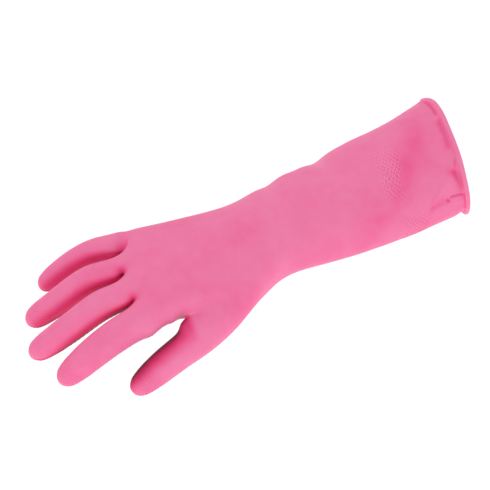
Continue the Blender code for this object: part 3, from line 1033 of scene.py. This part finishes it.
def rest_noise(nodes, links, scale, detail, roughness=0.5):
    """Noise fixed to the rest shape, so that it bends with the piece. The scale is per millimetre."""
    place = node(nodes, "ShaderNodeAttribute", attribute_name="rest")
    noise = node(nodes, "ShaderNodeTexNoise", Scale=scale, Detail=detail, Roughness=roughness)
    links.new(place.outputs["Vector"], noise.inputs["Vector"])
    return noise.outputs["Fac"]


def ramp(nodes, links, value, stops):
    made = node(nodes, "ShaderNodeValToRGB")
    elements = made.color_ramp.elements
    while len(elements) < len(stops):
        elements.new(0.5)
    for element, (place, colour) in zip(elements, stops):
        element.position = place
        element.color = colour
    links.new(value, made.inputs["Fac"])
    return made.outputs["Color"]


def add(nodes, links, *terms):
    """The sum of some values, each given as an output and what it is multiplied by."""
    total = None
    for value, factor in terms:
        scaled = node(nodes, "ShaderNodeMath", operation="MULTIPLY_ADD")
        scaled.inputs[1].default_value = factor
        scaled.inputs[2].default_value = 0
        links.new(value, scaled.inputs[0])
        if total:
            links.new(total, scaled.inputs[2])
        total = scaled.outputs[0]
    return total


# The latex's pinks, from the palest to the deepest; the deepest stops are reached only by the painted
# shade between the digits and on the thumb's flank
PINKS = (
    (0.0, (0.96, 0.29, 0.50, 1)),
    (0.18, (0.95, 0.205, 0.41, 1)),
    (0.28, (0.94, 0.148, 0.345, 1)),
    (0.38, (0.91, 0.105, 0.285, 1)),
    (0.52, (0.82, 0.065, 0.22, 1)),
    (0.70, (0.60, 0.03, 0.13, 1)),
    (1.0, (0.17, 0.004, 0.026, 1)),
)
TONE_SHARE = 0.5
LATEX_ROUGHNESS = 0.5
BEAD_ROUGHNESS = 0.44
LATEX_GLOSS = 0.14


def latex_material(name, roughness):
    """Satin dipped latex: slightly uneven in colour and gloss, with painted shade in its hollows, creases
    and between the digits, and a very fine skin to it."""
    material, nodes, links, shader = new_material(name)
    broad = rest_noise(nodes, links, 0.03, 2)
    mottle = rest_noise(nodes, links, 0.14, 3)
    # The tone holds the painted shade of the hollows, creases and crevices
    tones_and_painted_shade = node(nodes, "ShaderNodeAttribute", attribute_name="tone_and_painted_shade")
    pink = add(nodes, links, (broad, 0.25), (mottle, 0.11), (tones_and_painted_shade.outputs["Fac"], TONE_SHARE))
    links.new(ramp(nodes, links, pink, PINKS), shader.inputs["Base Color"])
    gloss = node(nodes, "ShaderNodeMapRange")
    set_inputs(gloss, {"To Min": roughness - 0.05, "To Max": roughness + 0.05})
    links.new(rest_noise(nodes, links, 0.25, 4), gloss.inputs["Value"])
    links.new(gloss.outputs["Result"], shader.inputs["Roughness"])
    fine = rest_noise(nodes, links, 2.2, 3, 0.6)
    bumped = node(nodes, "ShaderNodeBump", Strength=0.12, Distance=0.0002)
    links.new(fine, bumped.inputs["Height"])
    links.new(bumped.outputs["Normal"], shader.inputs["Normal"])
    set_inputs(shader, {"Specular IOR Level": LATEX_GLOSS})
    return material


def flock_material():
    """Short cotton fibres glued inside the latex: dull, pale and speckled."""
    material, nodes, links, shader = new_material("flock")
    speckle = rest_noise(nodes, links, 3.5, 4, 0.7)
    colours = ((0.3, (0.80, 0.40, 0.52, 1)), (0.7, (0.95, 0.70, 0.77, 1)))
    links.new(ramp(nodes, links, speckle, colours), shader.inputs["Base Color"])
    bumped = node(nodes, "ShaderNodeBump", Strength=0.6, Distance=0.0003)
    links.new(speckle, bumped.inputs["Height"])
    links.new(bumped.outputs["Normal"], shader.inputs["Normal"])
    set_inputs(shader, {"Roughness": 0.95, "Sheen Weight": 0.5, "Specular IOR Level": 0.1})
    return material


# ---- the rolled bead

# The roll's half width and half height, how far it is clear of the rim (it overlaps where this is
# less than 0), its tone, its sides, how many times its path is eased, and its slight waves
BEAD_HALF_WIDTH = 1.7
BEAD_HALF_HEIGHT = 1.35
BEAD_GAP = -0.4
BEAD_TONE = -0.12
BEAD_SIDES = 20
BEAD_EASING = 60
BEAD_WAVE = 0.05
BEAD_WAVES = 9


def rim_order(skin):
    """The points of the cuff's open edge, in order."""
    following = open_edges(skin.cells(1)[0])
    start = next(iter(following))
    loop = [start]
    while following[loop[-1]] != start:
        loop.append(following[loop[-1]])
    return np.array(loop)


def bead_mesh(skin, points, normals):
    """The cuff's rolled edge: an oval roll carried round the rim."""
    loop = rim_order(skin)
    centre, normal = points[loop], normals[loop]
    for _ in range(BEAD_EASING):
        centre = (np.roll(centre, 1, axis=0) + 2 * centre + np.roll(centre, -1, axis=0)) / 4
    along = units(np.roll(centre, -1, axis=0) - np.roll(centre, 1, axis=0))
    outward = units(np.cross(along, normal))
    round_rim = np.linspace(0, 2 * np.pi, len(loop), endpoint=False)
    wobble = 1 + BEAD_WAVE * np.sin(round_rim * BEAD_WAVES)[:, None]
    middle = centre - normal * SKIN / 2 + outward * (BEAD_GAP + BEAD_HALF_WIDTH)
    middle[:, 2] = np.maximum(middle[:, 2], BEAD_HALF_HEIGHT)
    turn = np.linspace(0, 2 * np.pi, BEAD_SIDES, endpoint=False)
    sideways = [outward * BEAD_HALF_WIDTH * math.cos(t) for t in turn]
    upward = [normal * BEAD_HALF_HEIGHT * math.sin(t) for t in turn]
    ring = np.stack([middle + wobble * (a + b) for a, b in zip(sideways, upward)], axis=1)
    spots = np.arange(len(loop) * BEAD_SIDES).reshape(-1, BEAD_SIDES)
    after = np.roll(spots, -1, axis=0)
    corners = [after, np.roll(after, -1, axis=1), np.roll(spots, -1, axis=1), spots]
    quads = np.stack(corners, axis=-1).reshape(-1, 4)
    flat = ring.reshape(-1, 3)
    mesh = bpy.data.meshes.new("rolled_bead")
    mesh.from_pydata(to_row(flat).tolist(), [], quads.tolist())
    mesh.shade_smooth()
    store(mesh, "rest", flat)
    store(mesh, "tone_and_painted_shade", np.full(len(flat), BEAD_TONE))
    return mesh


# ---- the glove


def build_glove():
    smooth = folded(SKIN_GRID)
    normals = SKIN_GRID.normals(smooth)
    share, height = relief(smooth, normals)
    outside = smooth + normals * (GRIP_HEIGHT * share * height)[:, None]
    outside[:, 2] = np.maximum(outside[:, 2], 0)
    # The painted shade in the grip's hollows, along the creases and between the digits, for every point
    tones_and_painted_shade = tone_and_painted_shade(smooth, normals, share, height)
    outer_skin = (outside, SKIN_GRID.normals(outside))
    inner_skin = (smooth - normals * SKIN, normals)
    outer_lining = (smooth - normals * (SKIN + LINING_CLEARANCE), normals)
    inner_lining = (smooth - normals * (SKIN + LINING_CLEARANCE + LINING), normals)
    latex = latex_material("latex", LATEX_ROUGHNESS)
    bead_latex = latex_material("bead_latex", BEAD_ROUGHNESS)
    flock = flock_material()
    for entry in piece_plan():
        fine = cells_of(SKIN_GRID, 1, entry["rows"])
        coarse = cells_of(SKIN_GRID, STRIDE, entry["rows"])
        low, high = bend_zone(entry, SKIN_GRID, smooth)
        name = entry["name"] + "_latex"
        skin_mesh = sheet_mesh(name, fine, coarse, outer_skin, inner_skin, smooth, tones_and_painted_shade)
        skin_piece = piece_object(name, skin_mesh, latex)
        bend_piece(skin_piece)
        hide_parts(*entry["skins"])
        name = entry["name"] + "_flock"
        lining_mesh = sheet_mesh(name, coarse, coarse, outer_lining, inner_lining, smooth, tones_and_painted_shade)
        lining_piece = piece_object(name, lining_mesh, flock)
        bend_piece(lining_piece)
        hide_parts(*entry["linings"])
    bead = piece_object("rolled_bead", bead_mesh(SKIN_GRID, smooth, normals), bead_latex)
    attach(bead, "gauntlet")
    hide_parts("cuff_bead")


build_glove()


# ---- floor, light and camera

# The camera: its direction from the target, the target and the distance, and its lens and sensor
CAMERA_AZIMUTH = -25
CAMERA_ELEVATION = 54
CAMERA_TARGET = (-22.7, 1.1, 20.8)
CAMERA_DISTANCE = 941.9
CAMERA_LENS = 100
CAMERA_SENSOR = 36


def back_vector(azimuth, elevation):
    """The direction from the object to a place at this azimuth and elevation."""
    a, e = math.radians(azimuth), math.radians(elevation)
    return Vector((math.sin(a) * math.cos(e), -math.cos(a) * math.cos(e), math.sin(e)))


def face(looker, back):
    """Turn a light or camera so that its back is this way."""
    looker.rotation_mode = "QUATERNION"
    looker.rotation_quaternion = back.to_track_quat("Z", "Y")


# The floor is lit from within too, so that it's white and shows no shadow. It's far enough below the
# glove, in millimetres, for the hand to bend down all the way above it. Its reach is in metres.
FLOOR_DEPTH = 180
FLOOR_REACH = 6.0
FLOOR_GREY = 0.18
FLOOR_GLOW = 0.9

# The studio's soft lights: the azimuth and power of each, and for all of them the elevation, the
# distance and the diameter in metres, and how bright the room around them is
SOFTBOXES = ((-90, 9), (0, 10), (90, 9), (180, 9))
SOFTBOX_ELEVATION = 28
SOFTBOX_DISTANCE = 2.0
SOFTBOX_SIZE = 1.2
ROOM_LIGHT = 0.48


def add_floor():
    mesh = bpy.data.meshes.new("floor")
    corners = [(x * FLOOR_REACH, y * FLOOR_REACH, 0) for x, y in ((-1, -1), (1, -1), (1, 1), (-1, 1))]
    mesh.from_pydata(corners, [], [(0, 1, 2, 3)])
    floor = placed("floor", mesh)
    floor.location.z = -FLOOR_DEPTH * MM
    material, _, _, shader = new_material("floor")
    set_inputs(shader, {"Base Color": (FLOOR_GREY,) * 3 + (1,), "Roughness": 0.9, "Specular IOR Level": 0.1})
    set_inputs(shader, {"Emission Color": (1, 1, 1, 1), "Emission Strength": FLOOR_GLOW})
    mesh.materials.append(material)


def add_softbox(name, azimuth, power):
    light = bpy.data.lights.new(name, "AREA")
    light.shape = "DISK"
    light.size = SOFTBOX_SIZE
    light.energy = power
    lamp = placed(name, light)
    back = back_vector(azimuth, SOFTBOX_ELEVATION)
    lamp.location = Vector(to_row(CAMERA_TARGET)) + back * SOFTBOX_DISTANCE
    face(lamp, back)


def add_world():
    world = bpy.data.worlds.new("studio")
    world.use_nodes = True
    set_inputs(world.node_tree.nodes["Background"], {"Color": (1, 1, 1, 1), "Strength": ROOM_LIGHT})
    bpy.context.scene.world = world


def add_camera():
    data = bpy.data.cameras.new("camera")
    data.lens = CAMERA_LENS
    data.sensor_width = CAMERA_SENSOR
    camera = placed("camera", data)
    back = back_vector(CAMERA_AZIMUTH, CAMERA_ELEVATION)
    camera.location = Vector(to_row(CAMERA_TARGET)) + back * CAMERA_DISTANCE * MM
    face(camera, back)
    bpy.context.scene.camera = camera


add_floor()
for side, brightness in SOFTBOXES:
    add_softbox(f"softbox_{side}", side, brightness)
add_world()
add_camera()

# Plain colours, without a film-like tone curve
bpy.context.scene.view_settings.view_transform = "Standard"
